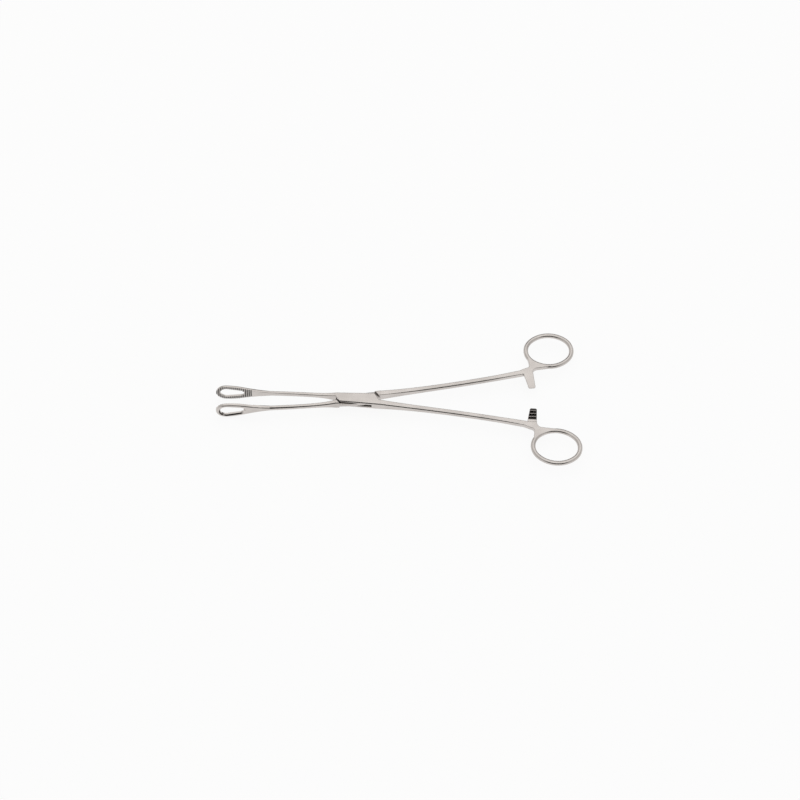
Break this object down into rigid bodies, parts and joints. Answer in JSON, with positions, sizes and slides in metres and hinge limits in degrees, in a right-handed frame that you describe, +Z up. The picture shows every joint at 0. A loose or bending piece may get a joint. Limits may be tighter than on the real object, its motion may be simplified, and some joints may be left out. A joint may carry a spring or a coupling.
{
  "type": "sponge forceps",
  "caption": "Long ring-handled surgical forceps with a box lock, fenestrated serrated oval jaws and a ratchet.",
  "frame": {"origin": "on the lock pin's axis, in the plane of the lock's flat underside", "axes": "+X along the instrument from the pin towards the finger rings, so the jaws are at -X; +Y across, in the plane the halves open in; +Z up along the pin, out of the lock's upper face"},
  "size_m": [0.2425, 0.1064, 0.0136],
  "materials": {
    "forged_steel": "satin stainless steel, ground and bead blasted, with brighter rounded edges",
    "pin_steel": "satin stainless steel, riveted and ground flush with the lock"
  },
  "bodies": {
    "female_side": {"female_half": "forged_steel", "lock_pin": "pin_steel"},
    "male_side": {"male_half": "forged_steel"}
  },
  "joints": [
    {"name": "lock_pivot", "type": "hinge", "parent": "female_side", "child": "male_side", "pos_m": [0, 0, 0.00305], "axis": [0, 0, 1], "range_deg": [-7.9, 50]}
  ]
}
